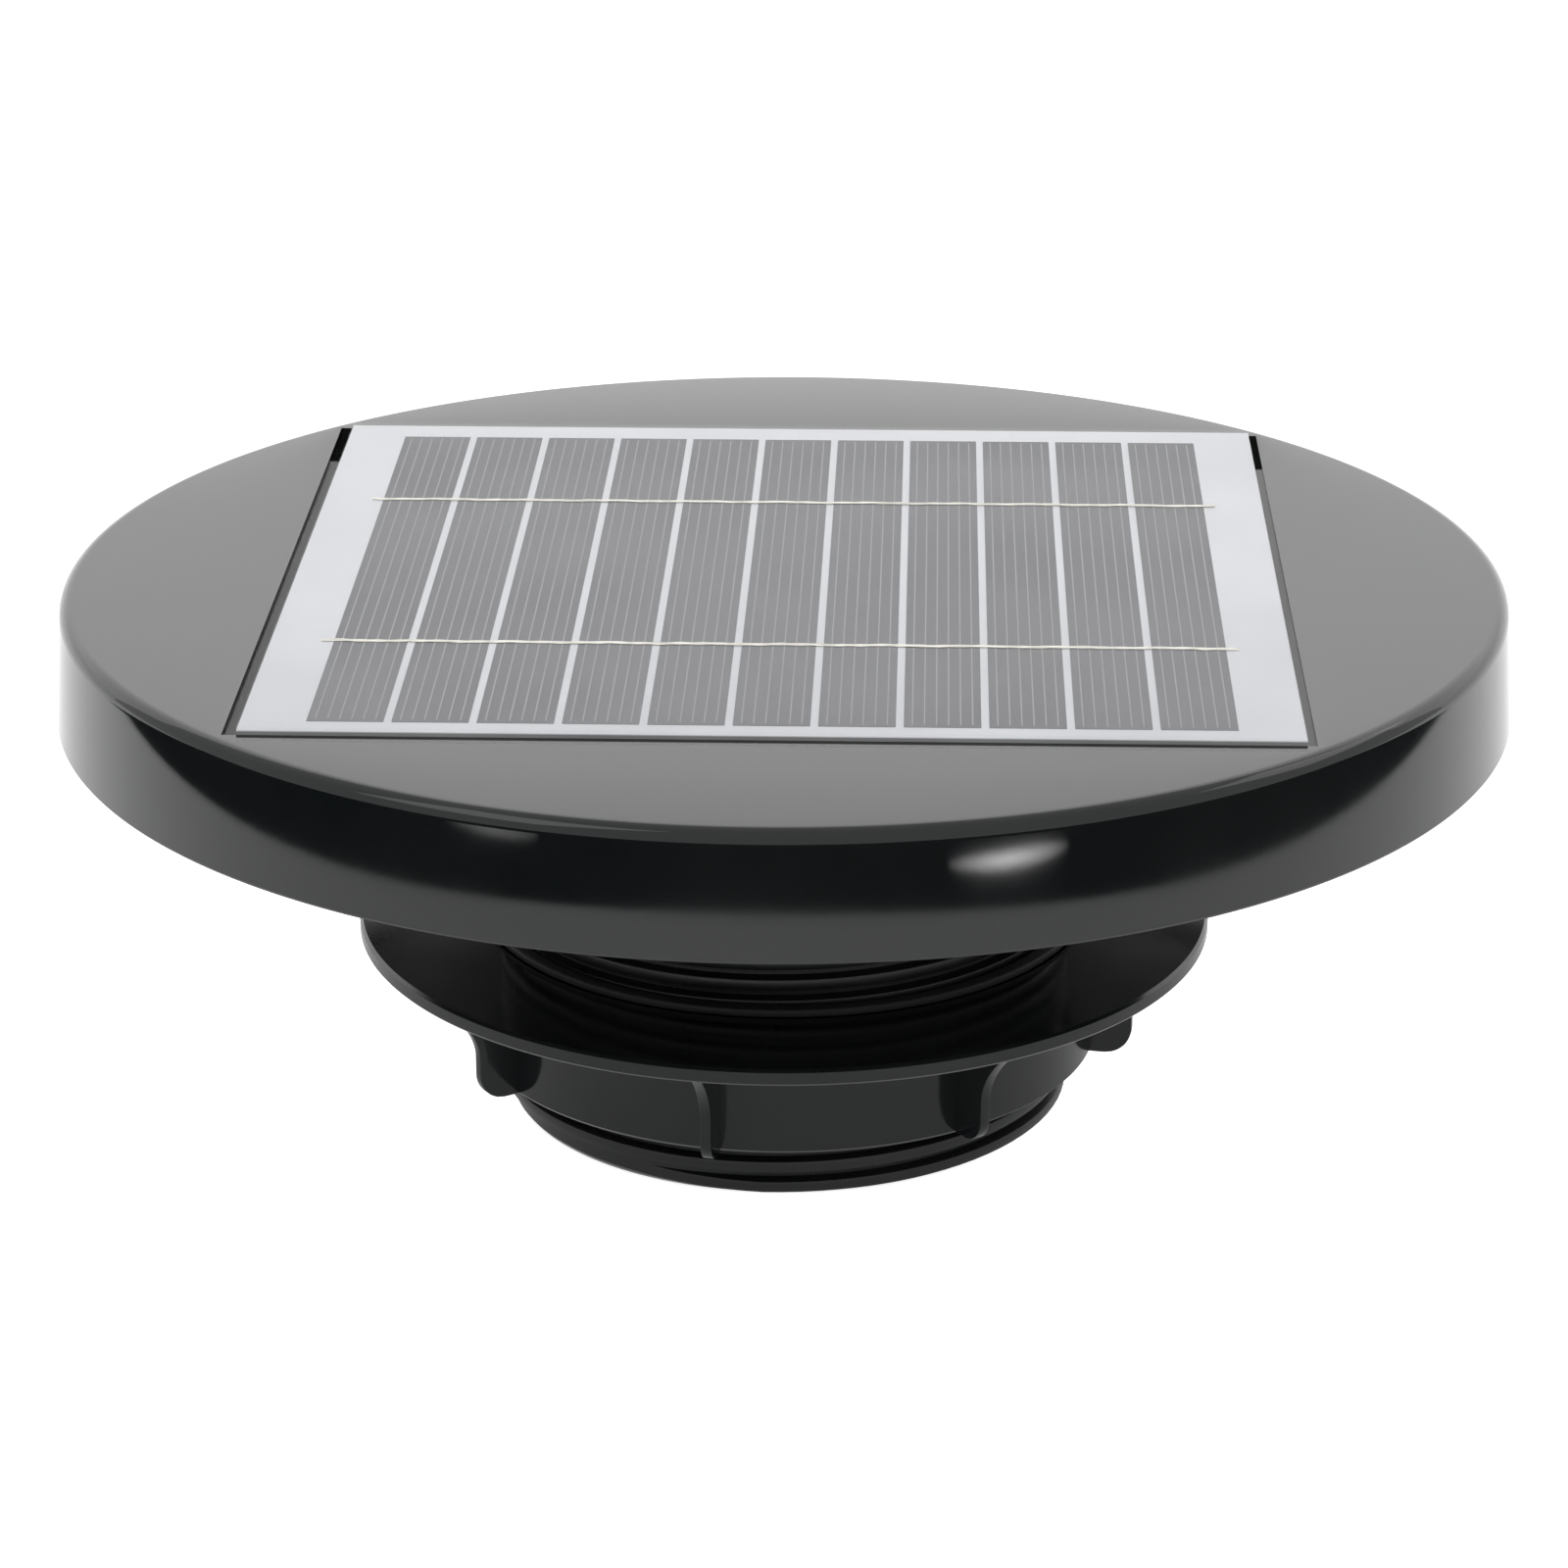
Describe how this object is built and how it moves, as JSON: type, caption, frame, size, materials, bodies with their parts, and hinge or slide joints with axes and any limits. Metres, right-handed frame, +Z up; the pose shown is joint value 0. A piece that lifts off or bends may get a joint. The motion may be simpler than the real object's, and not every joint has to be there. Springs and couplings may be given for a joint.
{
  "type": "solar attic fan",
  "caption": "Round solar-powered roof vent fan: black cap with a square solar panel over a threaded duct with a finned clamp nut, and a motor-driven impeller inside.",
  "frame": {"origin": "centre of the duct's lower end, on the plane that the fan stands on", "axes": "+Z up along the duct's axis, out through the solar panel; -Y is the side seen in the picture, +X to its right"},
  "size_m": [0.25, 0.25, 0.0962],
  "materials": {
    "cap_black": "glossy injection-moulded black",
    "duct_black": "satin black moulded thread",
    "nut_black": "smooth semi-gloss black",
    "seal_rubber": "matte black rubber",
    "panel_film": "clear semi-gloss encapsulant",
    "backsheet_white": "white satin",
    "cell_silicon": "grey silicon with fine printed fingers",
    "tinned_ribbon": "tinned, slightly wavy",
    "panel_sealant": "white silicone bead",
    "steel": "plain steel",
    "bronze": "sintered bronze and brass strip",
    "copper": "enamelled copper",
    "magnet_ferrite": "sintered ferrite",
    "motor_end_plastic": "natural nylon",
    "impeller_black": "satin black moulded",
    "lead_red": "red insulation",
    "lead_black": "black insulation"
  },
  "bodies": {
    "housing": {"cap_shell": "cap_black", "panel_cover_film": "panel_film", "panel_backsheet": "backsheet_white", "panel_sealant": "panel_sealant", "solar_cell_01": "cell_silicon", "solar_cell_02": "cell_silicon", "solar_cell_03": "cell_silicon", "solar_cell_04": "cell_silicon", "solar_cell_05": "cell_silicon", "solar_cell_06": "cell_silicon", "solar_cell_07": "cell_silicon", "solar_cell_08": "cell_silicon", "solar_cell_09": "cell_silicon", "solar_cell_10": "cell_silicon", "solar_cell_11": "cell_silicon", "busbar_ribbon_front": "tinned_ribbon", "busbar_ribbon_rear": "tinned_ribbon", "base_duct": "duct_black", "inlet_grille": "duct_black", "motor_bracket": "duct_black", "roof_gasket": "seal_rubber", "wire_grommet": "seal_rubber", "cap_screw_1": "steel", "cap_screw_2": "steel", "cap_screw_3": "steel", "cap_screw_4": "steel", "bracket_screw_1": "steel", "bracket_screw_2": "steel", "bracket_screw_3": "steel", "motor_screw_1": "steel", "motor_screw_2": "steel", "motor_can": "steel", "front_bush": "bronze", "rear_bush": "bronze", "motor_terminal_1": "bronze", "motor_terminal_2": "bronze", "motor_brush_1": "copper", "motor_brush_2": "copper", "motor_magnet_1": "magnet_ferrite", "motor_magnet_2": "magnet_ferrite", "motor_end_cap": "motor_end_plastic", "lead_positive": "lead_red", "lead_negative": "lead_black"},
    "rotor": {"impeller": "impeller_black", "motor_shaft": "steel", "armature_core": "steel", "commutator": "copper", "armature_coil_1": "copper", "armature_coil_2": "copper", "armature_coil_3": "copper"},
    "seal_ring": {"thread_seal_ring": "seal_rubber"},
    "nut": {"clamp_nut": "nut_black"}
  },
  "joints": [
    {"name": "fan_spin", "type": "hinge", "parent": "housing", "child": "rotor", "pos_m": [0, 0, 0.048], "axis": [0, 0, 1], "continuous": true},
    {"name": "nut_travel", "type": "slide", "parent": "housing", "child": "seal_ring", "axis": [0, 0, 1], "range_m": [-0.0104, 0.022]},
    {"name": "nut_turn", "type": "hinge", "parent": "seal_ring", "child": "nut", "pos_m": [0, 0, 0.022], "axis": [0, 0, 1], "range_deg": [-1010, 2135]}
  ],
  "couplings": [
    {"joint": "nut_travel", "follows": "nut_turn", "m_per_rad": 0.00058887}
  ]
}
